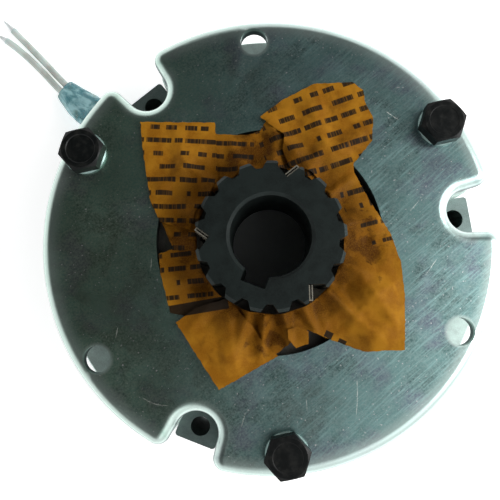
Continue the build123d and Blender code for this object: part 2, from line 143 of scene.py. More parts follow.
class Look:
    """A node material whose patterns are laid out in the object's own metres."""

    def __init__(self, name, **values):
        self.material = bpy.data.materials.new(name)
        self.material.use_nodes = True
        self.tree = self.material.node_tree
        self.shader = self.tree.nodes["Principled BSDF"]
        for socket, value in values.items():
            self.shader.inputs[socket.replace("_", " ")].default_value = value
        self.place = self.add("ShaderNodeTexCoord").outputs["Object"]

    def add(self, kind, inputs=None, **settings):
        """A new node with its settings made and its inputs linked or set."""
        node = self.tree.nodes.new(kind)
        for key, value in settings.items():
            setattr(node, key, value)
        for key, value in (inputs or {}).items():
            if isinstance(value, bpy.types.NodeSocket):
                self.tree.links.new(value, node.inputs[key])
            else:
                node.inputs[key].default_value = value
        return node

    def link(self, value, socket):
        """Feeds a value into the shader."""
        self.tree.links.new(value, self.shader.inputs[socket])

    def stretched(self, scale, turn=0.0):
        """The object's coordinates, turned about Z and scaled along each axis."""
        size = tuple(1 / factor for factor in scale)
        inputs = {"Vector": self.place, "Scale": size, "Rotation": (0, 0, turn)}
        return self.add("ShaderNodeMapping", inputs, vector_type="TEXTURE").outputs["Vector"]

    def noise(self, size, detail=4.0, vector=None, roughness=0.55, distortion=0.0):
        """Noise whose features are about size metres across."""
        inputs = {
            "Vector": vector or self.place,
            "Scale": 1 / size,
            "Detail": detail,
            "Roughness": roughness,
            "Distortion": distortion,
        }
        return self.add("ShaderNodeTexNoise", inputs).outputs["Fac"]

    def band(self, value, low, high, start=0.0, end=1.0, kind="SMOOTHSTEP"):
        """Value mapped from low..high to start..end and held there."""
        inputs = {"Value": value, "From Min": low, "From Max": high, "To Min": start, "To Max": end}
        return self.add("ShaderNodeMapRange", inputs, interpolation_type=kind).outputs["Result"]

    def distance(self, centre):
        """Distance of the surface from a point."""
        inputs = {0: self.place, 1: centre}
        return self.add("ShaderNodeVectorMath", inputs, operation="DISTANCE").outputs["Value"]

    def from_axis(self):
        """Distance of the surface from the shaft axis."""
        flat = self.add("ShaderNodeVectorMath", {0: self.place, 1: (1, 1, 0)}, operation="MULTIPLY")
        return self.add("ShaderNodeVectorMath", {0: flat.outputs[0]}, operation="LENGTH").outputs["Value"]

    def math(self, operation, a, b=0.0):
        """One arithmetic step."""
        return self.add("ShaderNodeMath", {0: a, 1: b}, operation=operation).outputs[0]

    def mix(self, factor, a, b, blend="MIX"):
        """Two colours mixed by a factor."""
        node = self.add("ShaderNodeMix", {"Factor": factor}, data_type="RGBA", blend_type=blend)
        for value, index in zip((a, b), MIX_COLOURS):
            if isinstance(value, bpy.types.NodeSocket):
                self.tree.links.new(value, node.inputs[index])
            else:
                node.inputs[index].default_value = value
        return node.outputs[MIX_RESULT]

    def bump(self, *layers):
        """Bump from (height, strength, distance) layers, the first one deepest."""
        normal = None
        for height, strength, distance in layers:
            inputs = {"Height": height, "Strength": strength, "Distance": distance}
            if normal:
                inputs["Normal"] = normal
            normal = self.add("ShaderNodeBump", inputs).outputs["Normal"]
        self.link(normal, "Normal")


def grey(level, tint=(1.0, 1.0, 1.0)):
    """A tinted grey as a colour."""
    return (level * tint[0], level * tint[1], level * tint[2], 1.0)


def paint(look, *names):
    """Gives the named CAD nodes a look."""
    for name in names:
        mesh = nodes[name].data
        mesh.materials.clear()
        mesh.materials.append(look.material)


# ---------------------------------------------------------------- metals
ZINC_TINT = (0.52, 1.0, 0.98)
NOTCH_CENTRE = 66.0 * MM
NOTCH_HALF_WIDTH = 7.0 * MM
NOTCH_ANGLE = 9.5
NOTCH_SHARPNESS = 1.5
HOLE_CENTRE = 67.5 * MM
HOLE_RADIUS = 4.5 * MM
HOLE_ANGLE = 95.0
HOLE_EDGE = 1.3 * MM
HOLE_DROP = 0.16 * MM
RIM_WIDTH = 7.5 * MM
RIM_DROP = 2.4 * MM
CUT_EDGE_LOW = 2.6 * MM
CUT_EDGE_HIGH = 1.3 * MM
OUTLINE_CORE = 0.15 * MM
OUTLINE_EDGE = 0.55 * MM
SCRATCH_CORE = 0.03 * MM
SCRATCH_EDGE = 0.16 * MM
PATCH_RAGGED = 8 * MM
RUB_HEADING = 41


def worn_metal(name, dark, light, tint, rough, metallic=0.9, grain=0.4 * MM, scratch=0.25):
    """Plated or turned metal: broad mottling, fine grain, hairline scratches."""
    look = Look(name, Metallic=metallic)
    broad = look.noise(24 * MM, 5, distortion=0.6)
    spots = look.noise(4 * MM, 6)
    fine = look.noise(grain, 3)
    mottled = look.math("ADD", look.math("MULTIPLY", broad, 0.6), look.math("MULTIPLY", spots, 0.4))
    colour = look.mix(look.band(mottled, 0.38, 0.62), grey(dark, tint), grey(light, tint))
    speckled = look.mix(look.band(fine, 0.35, 0.75, 0, 0.35), colour, grey(light * 1.25, tint))
    scratches = []
    for turn in (0.3, 1.9):
        streaks = look.noise(1 * MM, 2, vector=look.stretched((0.035, 1.6, 0.4), turn))
        scratches.append(look.band(streaks, 0.70, 0.74))
    lines = look.math("MAXIMUM", scratches[0], scratches[1])
    scratched = look.mix(look.math("MULTIPLY", lines, scratch), speckled, grey(light * 1.7, tint))
    look.link(scratched, "Base Color")
    look.link(look.band(mottled, 0.3, 0.7, rough + 0.08, rough - 0.06), "Roughness")
    look.bump((spots, 0.10, 0.05 * MM), (fine, 0.18, 0.02 * MM), (lines, -0.15, 0.02 * MM))
    return look


# Darker patches of tarnish on the face plate: middle and reach in millimetres.
TARNISH = [
    ((-10.0, 61.0), 10.0), ((3.0, 50.0), 10.0), ((-53.0, -4.0), 20.0), ((-47.0, -28.0), 18.0),
    ((-30.0, -47.0), 16.0), ((10.0, -56.0), 13.0),
]

# Scratches on the face plate: (x, y) of the middle, heading, length and bend radius in millimetres.
SCRATCHES = [
    ((28.0, -50.0), 88, 13.0, 60.0),
    ((-36.5, -52.3), -17, 10.0, 12.0),
    ((-38.5, -8.0), 88, 4.5, 200.0),
    ((30.0, -27.0), 62, 6.0, 80.0),
    ((52.0, -8.0), 55, 7.0, 90.0),
    ((47.0, 12.0), 50, 5.0, 70.0),
    ((-49.0, -30.0), 80, 4.0, 90.0),
    ((-8.0, -57.0), 75, 5.0, 120.0),
    ((12.0, -52.0), 95, 4.0, 90.0),
    ((40.0, 42.0), -35, 6.0, 90.0),
]


def scratch_mask(look, middle, heading, length, bend):
    """Thin arc through a point: a ring of the bend radius, cut off at half the length each way."""
    turn = math.radians(heading)
    x, y = (value * MM for value in middle)
    centre = (x - math.sin(turn) * bend * MM, y + math.cos(turn) * bend * MM, PLATE_TOP)
    ring = look.math("ABSOLUTE", look.math("SUBTRACT", look.distance(centre), bend * MM))
    line = look.band(ring, SCRATCH_CORE, SCRATCH_EDGE, 1, 0)
    reach = look.band(look.distance((x, y, PLATE_TOP)), length * 0.35 * MM, length * 0.5 * MM, 1, 0)
    return look.math("MULTIPLY", line, reach)


def distance_to(look, radius, angle):
    """Distance to a point of the plate's top given by its radius and angle."""
    turn = math.radians(angle)
    return look.distance((radius * math.cos(turn), radius * math.sin(turn), PLATE_TOP))


def rim_distance(look):
    """Distance inwards from the plate's outer edge and its notches."""
    rim = look.math("SUBTRACT", PLATE_RADIUS, distance_to(look, 0, 0))
    for turn in THIRDS:
        middle = distance_to(look, NOTCH_CENTRE, NOTCH_ANGLE + turn)
        notch = look.math("SUBTRACT", middle, NOTCH_HALF_WIDTH)
        rim = look.math("MINIMUM", rim, look.math("MULTIPLY", notch, NOTCH_SHARPNESS))
    return rim


def hole_rings(look):
    """One at the edges of the fixing holes, falling to zero just outside them."""
    rings = 0.0
    for turn in THIRDS:
        gap = look.math("SUBTRACT", distance_to(look, HOLE_CENTRE, HOLE_ANGLE + turn), HOLE_RADIUS)
        rings = look.math("MAXIMUM", look.band(gap, 0.0, HOLE_EDGE, 1, 0), rings)
    return rings


def patch_mask(look, places, clouds):
    """One inside the given patches, with cloudy edges."""
    ragged = look.band(clouds, 0.3, 0.7, PATCH_RAGGED, -PATCH_RAGGED, "LINEAR")
    patches = 0.0
    for (x, y), reach in places:
        away = look.math("ADD", look.distance((x * MM, y * MM, PLATE_TOP)), ragged)
        patches = look.math("MAXIMUM", look.band(away, 0.3 * reach * MM, 1.1 * reach * MM, 1, 0), patches)
    return patches


def zinc_patina(look, clouds, blotches, fine):
    """Dulled zinc: clouds, tarnish, a violet cast, lighter blotches and grain."""
    clouded = look.mix(look.band(clouds, 0.38, 0.62), grey(0.16, ZINC_TINT), grey(0.42, ZINC_TINT))
    tarnish = look.math("MULTIPLY", patch_mask(look, TARNISH, clouds), 0.6)
    tarnished = look.mix(tarnish, clouded, grey(0.13, (0.85, 1.0, 0.88)))
    cast = look.band(look.noise(15 * MM, 4), 0.48, 0.64, 0, 0.8)
    violet = look.mix(cast, tarnished, (0.20, 0.22, 0.31, 1.0))
    blotched = look.mix(look.band(blotches, 0.40, 0.66, 0, 0.55), violet, grey(0.50, ZINC_TINT))
    grain = look.band(fine, 0.34, 0.66, 0, 0.6, "LINEAR")
    return look.mix(grain, blotched, grey(0.60, (0.74, 1.0, 0.97)))


def zinc_rubbing_and_painted_light(look, patina, rubbed, across):
    """Slanting rub lines, stronger to the right, an olive tinge to the left and a few bright specks. The
    rub lines grow stronger to the right partly as painted light, and the olive tinge is partly painted
    shade.
    """
    # Painted light: the rub lines get lighter towards the right of the plate.
    lines = look.math(
        "MULTIPLY", look.band(rubbed, 0.46, 0.66), look.band(across, -30 * MM, 50 * MM, 0.12, 0.6)
    )
    lined = look.mix(lines, patina, grey(0.70, (0.62, 1.0, 0.98)))
    # Partly painted shade: an olive, duller tinge towards the left of the plate.
    olive = look.band(across, -60 * MM, 15 * MM, 0.9, 0)
    tinged = look.mix(olive, lined, (1.0, 0.96, 0.74, 1.0), blend="MULTIPLY")
    specks = look.band(look.noise(0.8 * MM, 1, roughness=0.3), 0.73, 0.78, 0, 0.8)
    return look.mix(specks, tinged, grey(0.95))


def zinc_scratches(look, fine):
    """The plate's scratches, broken up by the grain."""
    scratches = scratch_mask(look, *SCRATCHES[0])
    for scratch in SCRATCHES[1:]:
        scratches = look.math("MAXIMUM", scratches, scratch_mask(look, *scratch))
    return look.math("MULTIPLY", scratches, look.band(fine, 0.35, 0.6, 0.15, 0.7))


def zinc_plate():
    """Zinc plating that has dulled in clouds, rubbed in fine slanting lines, specked and scratched. Its
    rub lines grow lighter to the right as painted light, its olive tinge to the left is partly painted
    shade, and the lighter band at the rim and the fixing holes is partly a painted highlight.
    """
    look = Look("zinc_plate", Metallic=1.0)
    clouds = look.noise(24 * MM, 5, roughness=0.5, distortion=0.9)
    blotches = look.noise(7 * MM, 4, roughness=0.5)
    fine = look.noise(0.6 * MM, 4, roughness=0.65)
    along_rub = look.stretched((0.07, 1.0, 1.0), math.radians(RUB_HEADING))
    rubbed = look.noise(0.6 * MM, 4, vector=along_rub, roughness=0.7)
    across, _, height = look.add("ShaderNodeSeparateXYZ", {0: look.place}).outputs
    # Patina and rubbing, with painted light to the right and painted shade to the left.
    wear_and_painted_light = zinc_rubbing_and_painted_light(look, zinc_patina(look, clouds, blotches, fine), rubbed, across)
    broken = zinc_scratches(look, fine)
    rim = rim_distance(look)
    rings = hole_rings(look)
    # The lighter band along the rim, the notches and the fixing holes is partly polish and partly a
    # painted highlight on their rounded edges.
    edge = look.band(rim, 1.5 * MM, RIM_WIDTH, 0.75, 0)
    polish_and_painted_highlight = look.math("MAXIMUM", edge, look.math("MULTIPLY", rings, 0.6))
    bright = look.mix(polish_and_painted_highlight, wear_and_painted_light, grey(0.85, (0.84, 1.0, 0.94)))
    scored = look.mix(broken, bright, grey(1.0, (1.0, 1.0, 0.92)))
    cut = look.band(height, PLATE_TOP - CUT_EDGE_LOW, PLATE_TOP - CUT_EDGE_HIGH, 0.9, 0)
    outline = look.math("MAXIMUM", cut, look.band(rim, OUTLINE_CORE, OUTLINE_EDGE, 0.85, 0))
    look.link(look.mix(outline, scored, grey(0.10, (0.7, 0.9, 1.0))), "Base Color")
    dullness = look.band(clouds, 0.3, 0.7, 0.34, 0.27)
    look.link(look.math("ADD", dullness, look.math("MULTIPLY", broken, 0.2)), "Roughness")
    turned_down = look.math("POWER", look.band(rim, 0.0, RIM_WIDTH, 1, 0, "LINEAR"), 2.0)
    look.bump(
        (turned_down, -1.0, RIM_DROP),
        (rings, -1.0, HOLE_DROP),
        (blotches, 0.14, 0.10 * MM),
        (rubbed, 0.12, 0.02 * MM),
        (fine, 0.05, 0.02 * MM),
        (broken, -0.5, 0.05 * MM),
    )
    return look


paint(zinc_plate(), "front_plate")
paint(worn_metal("armature_steel", 0.58, 0.80, (0.80, 1.0, 0.93), 0.42, metallic=0.45), "armature_plate")
paint(worn_metal("magnet_steel", 0.23, 0.38, (0.76, 1.0, 0.95), 0.38), "magnet_body")
paint(worn_metal("washer_steel", 0.24, 0.42, (0.72, 1, 0.95), 0.40), "washer_1", "washer_2", "washer_3")
paint(worn_metal("spacer_steel", 0.40, 0.58, (0.85, 1, 0.96), 0.30), "spacer_1", "spacer_2", "spacer_3")
# The disc carrier's aluminium is painted nearly black: painted shade for the dark gaps in the face plate's
# opening where it shows.
paint(worn_metal("carrier_aluminium", 0.10, 0.20, (1.0, 0.95, 0.85), 0.50), "disc_carrier")
hub_look = worn_metal("hub_steel", 0.010, 0.026, (0.78, 1.06, 1.0), 0.40, metallic=0.5, scratch=0.1)
hub_look.shader.inputs["Specular IOR Level"].default_value = 0.25
paint(hub_look, "splined_hub")
clip_look = worn_metal("spring_steel", 0.55, 0.8, (1.0, 0.95, 0.78), 0.22)
paint(clip_look, *[n for n in nodes if n.startswith(("rattle_spring", "pressure_spring"))])
paint(worn_metal("tinned_wire", 0.6, 0.75, (0.95, 1, 1), 0.3), "lead_end_1", "lead_end_2")


def black_oxide():
    """Oily black finish of the bolts, greyed by dust."""
    look = Look("black_oxide", Specular_IOR_Level=0.17)
    bloom = look.noise(3 * MM, 5)
    fine = look.noise(0.5 * MM, 4)
    oily, dry = grey(0.004, (0.9, 1.1, 1.1)), grey(0.010, (1.0, 1.05, 0.95))
    colour = look.mix(look.band(bloom, 0.45, 0.7), oily, dry)
    dusty = look.mix(look.band(fine, 0.60, 0.80, 0, 0.4), colour, grey(0.05, (0.9, 1.05, 1.05)))
    look.link(dusty, "Base Color")
    look.link(look.band(bloom, 0.3, 0.7, 0.30, 0.46), "Roughness")
    look.bump((bloom, 0.2, 0.08 * MM), (fine, 0.3, 0.04 * MM))
    return look


paint(black_oxide(), "bolt_1", "bolt_2", "bolt_3")


def plain_surface(name, colour, rough, grain, depth=0.02 * MM, **values):
    """Moulded or cast surface with a little tone and grain."""
    look = Look(name, **values)
    tone = look.noise(6 * MM, 4)
    fine = look.noise(grain, 3)
    darker = tuple(c * 0.75 for c in colour[:3]) + (1.0,)
    look.link(look.mix(look.band(tone, 0.35, 0.65), darker, colour), "Base Color")
    look.link(look.band(fine, 0.3, 0.7, rough - 0.06, rough + 0.06), "Roughness")
    look.bump((tone, 0.1, depth * 2), (fine, 0.2, depth))
    return look


lining_look = plain_surface("friction_lining", (0.016, 0.013, 0.011, 1), 0.8, 0.8 * MM, 0.08 * MM)
paint(lining_look, "front_lining", "rear_lining")
paint(plain_surface("bobbin_plastic", (0.10, 0.10, 0.10, 1), 0.5, 0.5 * MM), "coil_bobbin")
paint(plain_surface("coil_wire", (0.55, 0.25, 0.10, 1), 0.35, 0.4 * MM, Metallic=0.8), "coil_winding")
paint(plain_surface("potting_resin", (0.03, 0.03, 0.035, 1), 0.25, 2 * MM), "coil_potting")
paint(plain_surface("grommet_rubber", (0.02, 0.02, 0.02, 1), 0.6, 0.5 * MM), "lead_grommet")
insulation = plain_surface("lead_insulation", (0.58, 0.69, 0.66, 1), 0.45, 1.5 * MM, Subsurface_Weight=0.1)
for lead in leads:
    lead.data.materials.append(insulation.material)

# ---------------------------------------------------------------- pressure springs
SPRING_COUNT = 6


def shorten_with_armature(name):
    """Gives a pressure spring its own copy of its mesh."""
    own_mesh(nodes[name])


for number in range(1, SPRING_COUNT + 1):
    shorten_with_armature(f"pressure_spring_{number}")

# ---------------------------------------------------------------- sleeve over the leads
# Sections of the flattened sleeve: (along, sideways, height, half width, half height) in millimetres.
SLEEVE_SECTIONS = [
    (78.4, 0.0, 15.7, 6.9, 3.1), (84.5, 0.0, 14.0, 7.1, 3.1), (90.6, 0.0, 11.8, 7.1, 3.0),
    (96.6, 0.1, 9.1, 6.9, 2.9), (102.6, 0.2, 6.4, 6.3, 2.8), (107.2, 0.5, 4.8, 5.4, 2.7),
    (111.6, 0.9, 3.5, 4.6, 2.6),
]
SLEEVE_AROUND = 72
SLEEVE_STEPS = 12
SLEEVE_SKIN = 0.25 * MM
# Wrinkles: their depth, how closely they lie round the tube, and their length along it in millimetres.
SLEEVE_WRINKLE = 0.55
WRINKLES_ROUND = 2.2
WRINKLE_LENGTH = 9.0


def sleeve_look():
    """Clear blue-green film: see-through between its creases, milky and glossy along them."""
    look = Look("sleeve_film", IOR=1.35, Coat_Weight=0.5, Coat_Roughness=0.08)
    streaks = look.noise(3.4 * MM, 4, vector=look.stretched((0.22, 1.0, 1.0), LEAD_ANGLE), distortion=0.5)
    cloud = look.noise(5 * MM, 3)
    tint = look.mix(look.band(streaks, 0.42, 0.62), (0.10, 0.38, 0.44, 1), (0.38, 0.72, 0.76, 1))
    look.link(look.mix(look.band(cloud, 0.5, 0.7, 0, 0.5), tint, (0.12, 0.24, 0.16, 1)), "Base Color")
    look.link(look.band(streaks, 0.35, 0.65, 0.55, 0.90), "Alpha")
    look.link(look.band(streaks, 0.3, 0.7, 0.22, 0.10), "Roughness")
    look.bump((streaks, 0.5, 0.5 * MM), (look.noise(0.9 * MM, 3), 0.2, 0.08 * MM))
    return look


def sleeve_stations():
    """The sleeve's sections, with even steps between them."""
    stations = []
    for start, end in zip(SLEEVE_SECTIONS, SLEEVE_SECTIONS[1:]):
        for i in range(SLEEVE_STEPS):
            share = i / SLEEVE_STEPS
            stations.append([a + (b - a) * share for a, b in zip(start, end)])
    return stations + [SLEEVE_SECTIONS[-1]]


def sleeve_ring(mesh, along, sideways, height, half_width, half_height):
    """The points round one section of the sleeve, pressed in by its wrinkles."""
    ring = []
    for i in range(SLEEVE_AROUND):
        turn = 2 * math.pi * i / SLEEVE_AROUND
        x, y = math.cos(turn), math.sin(turn)
        place = Vector((x * WRINKLES_ROUND, y * WRINKLES_ROUND, along / WRINKLE_LENGTH))
        wrinkle = abs(noise.noise(place)) + 0.5 * abs(noise.noise(place * 2.3))
        inward = 1.0 - SLEEVE_WRINKLE * wrinkle / half_height
        across = sideways + x * half_width * (1 - 0.4 * (1 - inward))
        up = height + y * half_height * inward
        ring.append(mesh.verts.new(lead_point(along, across, up)))
    return ring


def smooth_object(name, mesh, look):
    """A finished bmesh as a smooth object with a look."""
    data = bpy.data.meshes.new(name)
    mesh.to_mesh(data)
    mesh.free()
    for polygon in data.polygons:
        polygon.use_smooth = True
    data.materials.append(look.material)
    made = bpy.data.objects.new(name, data)
    bpy.context.scene.collection.objects.link(made)
    return made


def make_sleeve():
    """Flattened film tube with lengthwise wrinkles, open at both ends."""
    mesh = bmesh.new()
    rings = [sleeve_ring(mesh, *station) for station in sleeve_stations()]
    for ring, after in zip(rings, rings[1:]):
        for i in range(SLEEVE_AROUND):
            j = (i + 1) % SLEEVE_AROUND
            mesh.faces.new((ring[i], ring[j], after[j], after[i]))
    bmesh.ops.recalc_face_normals(mesh, faces=mesh.faces)
    sleeve = smooth_object("film_sleeve", mesh, sleeve_look())
    skin = sleeve.modifiers.new("film", "SOLIDIFY")
    skin.thickness = SLEEVE_SKIN
    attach(sleeve, "housing")
    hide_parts("lead_sleeve")


make_sleeve()

# ---------------------------------------------------------------- protective paper
# One torn sheet of brown paper pushed down over the hub. It is cut as overlapping flaps, each given by
# its outline in millimetres and by how far its edges lie above the face plate.
PAPER_STEP = 0.9
PAPER_HOLE = 23.9
HOLE_TEAR = 0.25
EDGE_TEAR = 0.13
GRID_JITTER = 0.18
ROW_SPACING = 0.87
PAPER_LOW = 0.25
PAPER_HIGH = 6.1
TOP_LIFT = 2.2
FLAP_GAP = 0.09
# Beyond this distance from the axis the paper settles towards the plate, most of all at its edges.
FLAT_FROM = 36.0
EDGE_SETTLE = 0.35
SETTLE_WIDTH = 6.0
PAPER_SEED = 11
INSIDE_ONLY = 1
WELD = 1e-5
# The paper's crown round the hub: where it begins, how wide it is and how far it rises.
CROWN_REACH = 44.0
CROWN_WIDTH = 20.0
CROWN_RISE = 1.2
PAPER_SHEET = [
    (-42.8, 38.8), (-38.8, 11.5), (-34.7, 4.4), (-31.3, -2.8), (-36.1, -4.7), (-35.3, -11.2),
    (-31.8, -23.6), (-24.0, -25.0), (-12.0, -27.0), (1.5, -36.8), (12.2, -28.5), (16.7, -30.4),
    (24.9, -33.4), (30.6, -35.2), (43.2, -34.5), (43.4, -16.8), (42.3, -6.6), (39.2, 2.4),
    (35.1, 8.9), (32.2, 13.4), (27.4, 22.6), (27.1, 27.9), (31.0, 31.0), (30.0, 46.0),
    (14.1, 50.0), (3.6, 44.5), (-1.5, 40.0), (-3.6, 36.4), (-7.8, 35.0), (-18.0, 35.3),
    (-20.0, 38.0),
]
PAPER_FLAPS = [
    (1.3, [
        (-43.1, 38.9), (-18.4, 38.8), (-17.9, 30.9), (-17.1, 20.3), (-19.0, 15.5), (-24.1, 8.4),
        (-25.9, 3.1), (-35.7, 5.7), (-39.1, 12.9), (-42.0, 30.0),
    ]),
    (1.5, [
        (-29.9, -26.6), (-23.5, -21.9), (-14.0, -19.0), (-10.7, -21.6), (-4.9, -28.1), (-1.1, -33.7),
        (2.8, -36.8), (-15.8, -47.6),
    ]),
    (1.6, [
        (-3.6, 40.7), (4.3, 34.4), (3.7, 29.7), (6.0, 24.0), (12.8, 22.0), (19.0, 17.0), (25.8, 23.9),
        (33.0, 33.0), (33.4, 40.6), (30.8, 46.0), (30.2, 50.0), (26.6, 52.7), (14.1, 52.0), (3.6, 46.5),
    ]),
    (TOP_LIFT, [(5.6, -28.4), (9.0, -27.4), (12.4, -29.0), (12.3, -32.9), (8.5, -34.2), (5.9, -31.5)]),
]
# Radial folds: direction in degrees, where they end, height at the hub and half width there.
PAPER_FOLDS = [
    (12, 40, 3.2, 5.0), (38, 36, 2.4, 3.0), (62, 40, 2.6, 3.4), (88, 36, 3.0, 3.2),
    (112, 38, 2.2, 3.6), (138, 40, 2.8, 3.0), (158, 37, 3.2, 3.4), (181, 36, 2.4, 3.2),
    (206, 37, 2.6, 3.0), (228, 40, 3.0, 3.6), (254, 38, 2.6, 2.6), (266, 40, 3.6, 2.2),
    (281, 37, 3.2, 2.4), (297, 36, 2.2, 2.4), (318, 39, 3.4, 3.0), (342, 38, 2.8, 4.4),
]
FOLD_RISE = 1.25
FOLD_SPREAD = 0.6
# Straight creases: one end, other end, height, half width.
PAPER_CREASES = [
    ((-40, 12), (-22, 30), 1.2, 5.0), ((-30, 38), (-27, 8), 0.8, 4.0),
    ((-4, 41), (12, 24), 1.6, 4.0), ((10, 52), (20, 24), 0.9, 5.0),
    ((33, 38), (16, 26), 1.0, 4.0), ((25, -6), (43, -30), 1.8, 7.0),
    ((18, -16), (40, -35), 1.4, 5.0), ((43, -12), (26, -20), 1.2, 6.0),
    ((-30, -26), (-8, -40), 0.9, 6.0), ((-14, -19), (-10, -44), 1.1, 5.0),
    ((-35, -8), (-20, -22), 1.2, 4.0), ((24, 12), (38, 4), 1.0, 4.0),
]
CREASE_RISE = 1.5
# Crumpling: how far it rises, its middle level, its size in millimetres and where its noise is taken.
PAPER_CRUMPLE = [(1.3, 0.5, 9.0, (0, 0, 0)), (0.8, 0.4, 4.2, (5, 2, 0))]
# Darker patches, partly grease and partly painted shade between the flaps, in the folds and beside the
# hub: middle and reach in millimetres.
GREASE_AND_SHADE = [((-6.0, 29.0), 11.0), ((29.0, -1.0), 9.0), ((1.0, -30.0), 9.0), ((-27.0, 0.0), 9.0)]
# Areas of print: heading of the rows, row pitch, and the area's centre and half sizes in millimetres.
PRINTED_AREAS = [
    (-2, 4.4, (-25.0, 17.0), (19.0, 22.0)),
    (20, 4.9, (16.0, 36.0), (20.0, 15.5)),
    (17, 5.0, (30.0, 14.5), (7.0, 6.5)),
    (6, 4.6, (-28.0, -11.5), (9.5, 7.6)),
    (15, 7.4, (34.0, 3.0), (5.5, 3.7)),
]
# Solid printed blocks: heading, centre and half sizes in millimetres.
PRINTED_BLOCKS = [
    (10, (-23.5, -21.8), (10.5, 2.0)),
    (-25, (18.9, -30.0), (1.3, 1.1)),
    (-25, (23.1, -32.5), (1.3, 1.1)),
]


def along_edges(corners, step, rng):
    """Points along a closed outline, one each step, with the small unevenness of a tear."""
    points = []
    for (x0, y0), (x1, y1) in zip(corners, corners[1:] + corners[:1]):
        length = math.hypot(x1 - x0, y1 - y0)
        count = max(1, round(length / step))
        for i in range(count):
            share = i / count
            jitter = rng.uniform(-EDGE_TEAR, EDGE_TEAR) if i else 0.0
            across = (-(y1 - y0) / length * jitter, (x1 - x0) / length * jitter)
            points.append((x0 + (x1 - x0) * share + across[0], y0 + (y1 - y0) * share + across[1]))
    return points


def inside(point, corners):
    """Whether a point lies in a polygon."""
    x, y = point
    hit = False
    for (x0, y0), (x1, y1) in zip(corners, corners[1:] + corners[:1]):
        if (y0 > y) != (y1 > y) and x < (x1 - x0) * (y - y0) / (y1 - y0) + x0:
            hit = not hit
    return hit


def edge_distance(point, corners):
    """Distance from a point to the nearest side of a polygon."""
    nearest = 1e9
    p = Vector(point)
    for a, b in zip(corners, corners[1:] + corners[:1]):
        start, end = Vector(a), Vector(b)
        span = end - start
        share = min(1.0, max(0.0, (p - start).dot(span) / span.length_squared))
        nearest = min(nearest, (p - start - span * share).length)
    return nearest


def tent(distance, half_width):
    """Height share of a sharp fold at a distance from its ridge."""
    return max(0.0, 1.0 - abs(distance) / half_width)


def paper_height(x, y, lift):
    """Height of the crumpled paper above the face plate, in millimetres."""
    spot = Vector((x, y))
    radius = math.hypot(x, y)
    angle = math.degrees(math.atan2(y, x))
    near = max(0.0, min(1.0, (CROWN_REACH - radius) / CROWN_WIDTH))
    height = lift + CROWN_RISE * near * near
    for heading, end, top, half_width in PAPER_FOLDS:
        turn = math.radians((angle - heading + 180) % 360 - 180)
        fade = max(0.0, (end - radius) / (end - PAPER_HOLE))
        if abs(turn) < FOLD_SPREAD:
            height += FOLD_RISE * top * fade * tent(turn * radius, half_width * (0.6 + 0.6 * fade))
    for a, b, top, half_width in PAPER_CREASES:
        start, end = Vector(a), Vector(b)
        span = end - start
        share = (spot - start).dot(span) / span.length_squared
        if 0 < share < 1:
            across = (spot - start - span * share).length
            ends = min(1.0, 4 * share, 4 * (1 - share))
            height += CREASE_RISE * top * ends * tent(across, half_width)
    for rise, middle, size, shift in PAPER_CRUMPLE:
        place = Vector((x, y, lift * 9)) / size + Vector(shift)
        height += rise * (middle - abs(noise.noise(place))) * (0.3 + 0.7 * near)
    return height


def settled_height(spot, corners, lift):
    """Height of a flap's point, let down towards the plate at the outer edges."""
    height = paper_height(spot.x, spot.y, lift)
    if spot.length > FLAT_FROM:
        settle = min(1.0, EDGE_SETTLE + edge_distance(spot, corners) / SETTLE_WIDTH)
        height = PAPER_LOW + lift + (height - lift) * settle
    ceiling = PAPER_HIGH - FLAP_GAP * (TOP_LIFT - lift)
    return max(PAPER_LOW + lift * 0.8, min(ceiling, height))


def hole_points(corners):
    """Points along the hub's torn hole, where they lie inside a flap."""
    count = round(2 * math.pi * PAPER_HOLE / PAPER_STEP)
    points = []
    for i in range(count):
        turn = 2 * math.pi * i / count
        x, y = math.cos(turn), math.sin(turn)
        reach = PAPER_HOLE + HOLE_TEAR * noise.noise(Vector((x * 4, y * 4, 3)))
        spot = (reach * x, reach * y)
        if inside(spot, corners) and edge_distance(spot, corners) > 0.3 * PAPER_STEP:
            points.append(spot)
    return points


def grid_points(corners, rng):
    """Points in uneven rows over a flap, clear of its edges and of the hole."""
    low_x, low_y = (min(values) for values in zip(*corners))
    high_x, high_y = (max(values) for values in zip(*corners))
    points = []
    row = 0
    y = low_y
    while y < high_y:
        x = low_x + (row % 2) * PAPER_STEP / 2
        while x < high_x:
            shift_x, shift_y = (rng.uniform(-GRID_JITTER, GRID_JITTER) for _ in range(2))
            spot = (x + shift_x, y + shift_y)
            clear = math.hypot(*spot) > PAPER_HOLE + 0.7 * PAPER_STEP
            if clear and inside(spot, corners) and edge_distance(spot, corners) > 0.55 * PAPER_STEP:
                points.append(spot)
            x += PAPER_STEP
        y += PAPER_STEP * ROW_SPACING
        row += 1
    return points


def flap_mesh(mesh, corners, lift, rng):
    """Adds one crumpled flap to a bmesh."""
    rim = along_edges(corners, PAPER_STEP, rng)
    points = [Vector(p) for p in rim + hole_points(corners) + grid_points(corners, rng)]
    edges = [(i, (i + 1) % len(rim)) for i in range(len(rim))]
    result = delaunay_2d_cdt(points, edges, [list(range(len(rim)))], INSIDE_ONLY, WELD)
    flat, faces = result[0], result[2]
    made = []
    for spot in flat:
        height = settled_height(spot, corners, lift)
        made.append(mesh.verts.new((spot.x * MM, spot.y * MM, PLATE_TOP + height * MM)))
    for face in faces:
        centre = sum((flat[i] for i in face), Vector((0, 0))) / len(face)
        if centre.length > PAPER_HOLE - 0.35:
            mesh.faces.new([made[i] for i in face])


